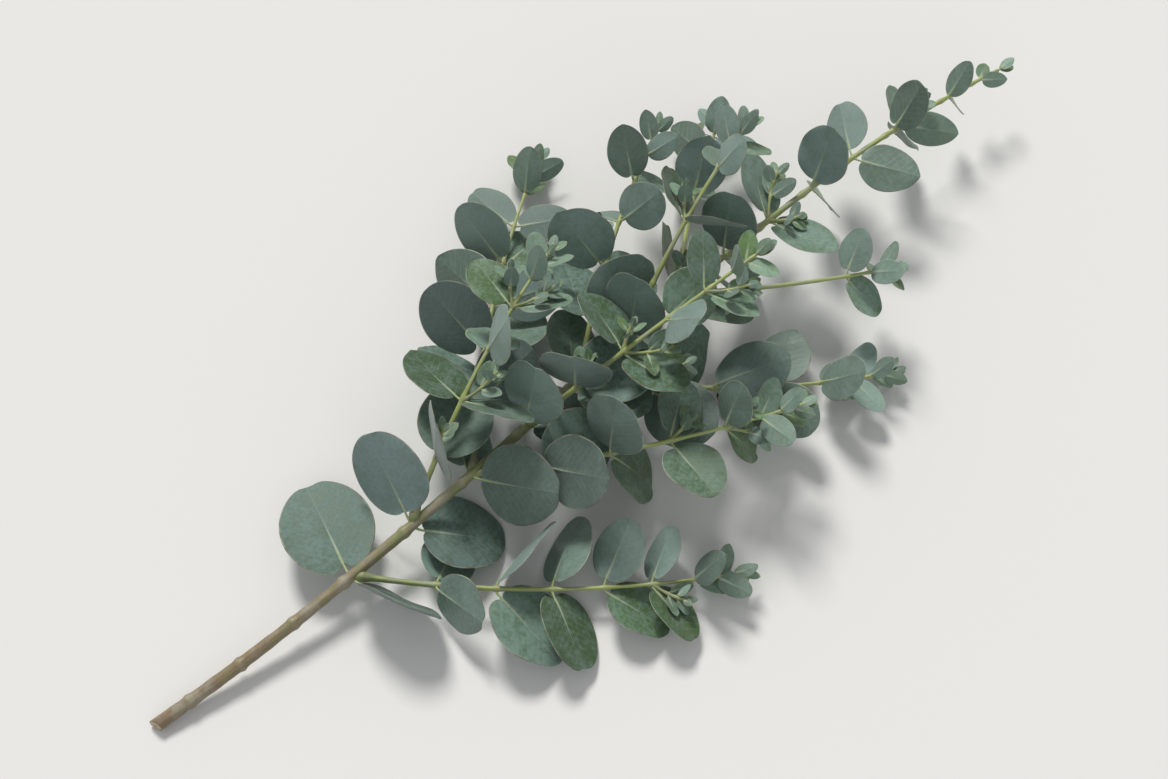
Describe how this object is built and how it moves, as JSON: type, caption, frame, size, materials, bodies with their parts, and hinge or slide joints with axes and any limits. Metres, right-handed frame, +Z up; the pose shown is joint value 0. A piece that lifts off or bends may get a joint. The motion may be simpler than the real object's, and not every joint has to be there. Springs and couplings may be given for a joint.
{
  "type": "eucalyptus branch",
  "caption": "Cut eucalyptus branch lying down: a woody stem with forked side twigs and opposite pairs of round, waxy grey-green leaves.",
  "frame": {"origin": "middle of the branch's footprint, on the surface that it lies on", "axes": "+Y along the stem from the cut end to the tip, +Z up from the surface, +X to the right of the stem"},
  "size_m": [0.3292, 0.6922, 0.1299],
  "materials": {
    "stem_bark": "satin young bark, green turning brown towards the cut end",
    "twig_bark": "satin yellow-green bark with a thin white bloom",
    "leaf_blade": "matte waxy grey-green bloom over green, pale midrib",
    "young_leaf": "soft satin yellow-green young leaf"
  },
  "bodies": {
    "root": {"main_stem": "stem_bark", "side_twig_01": "twig_bark", "side_twig_02": "twig_bark", "side_twig_03": "twig_bark", "side_twig_04": "twig_bark", "side_twig_05": "twig_bark", "side_twig_06": "twig_bark", "side_twig_07": "twig_bark", "side_twig_08": "twig_bark", "side_twig_09": "twig_bark", "side_twig_10": "twig_bark", "leaf_pair_01": "leaf_blade", "leaf_pair_02": "leaf_blade", "leaf_pair_03": "leaf_blade", "leaf_pair_04": "leaf_blade", "leaf_pair_05": "leaf_blade", "leaf_pair_06": "leaf_blade", "leaf_pair_07": "leaf_blade", "leaf_pair_08": "leaf_blade", "leaf_pair_09": "leaf_blade", "leaf_pair_10": "leaf_blade", "leaf_pair_11": "leaf_blade", "leaf_pair_12": "leaf_blade", "leaf_pair_13": "leaf_blade", "leaf_pair_14": "leaf_blade", "leaf_pair_15": "leaf_blade", "leaf_pair_16": "leaf_blade", "leaf_pair_17": "leaf_blade", "leaf_pair_18": "leaf_blade", "leaf_pair_19": "leaf_blade", "leaf_pair_20": "leaf_blade", "leaf_pair_21": "leaf_blade", "leaf_pair_22": "leaf_blade", "leaf_pair_23": "leaf_blade", "leaf_pair_24": "leaf_blade", "leaf_pair_25": "leaf_blade", "leaf_pair_26": "leaf_blade", "leaf_pair_27": "leaf_blade", "leaf_pair_28": "leaf_blade", "leaf_pair_29": "leaf_blade", "leaf_pair_30": "leaf_blade", "leaf_pair_31": "leaf_blade", "leaf_pair_32": "leaf_blade", "leaf_pair_33": "leaf_blade", "leaf_pair_34": "leaf_blade", "leaf_pair_35": "leaf_blade", "leaf_pair_36": "leaf_blade", "leaf_pair_37": "leaf_blade", "leaf_pair_38": "leaf_blade", "leaf_pair_39": "leaf_blade", "leaf_pair_40": "leaf_blade", "leaf_pair_41": "leaf_blade", "leaf_pair_42": "leaf_blade", "leaf_pair_43": "leaf_blade", "leaf_pair_44": "leaf_blade", "leaf_pair_45": "leaf_blade", "leaf_pair_46": "leaf_blade", "leaf_pair_47": "leaf_blade", "leaf_pair_48": "leaf_blade"}
  },
  "joints": []
}
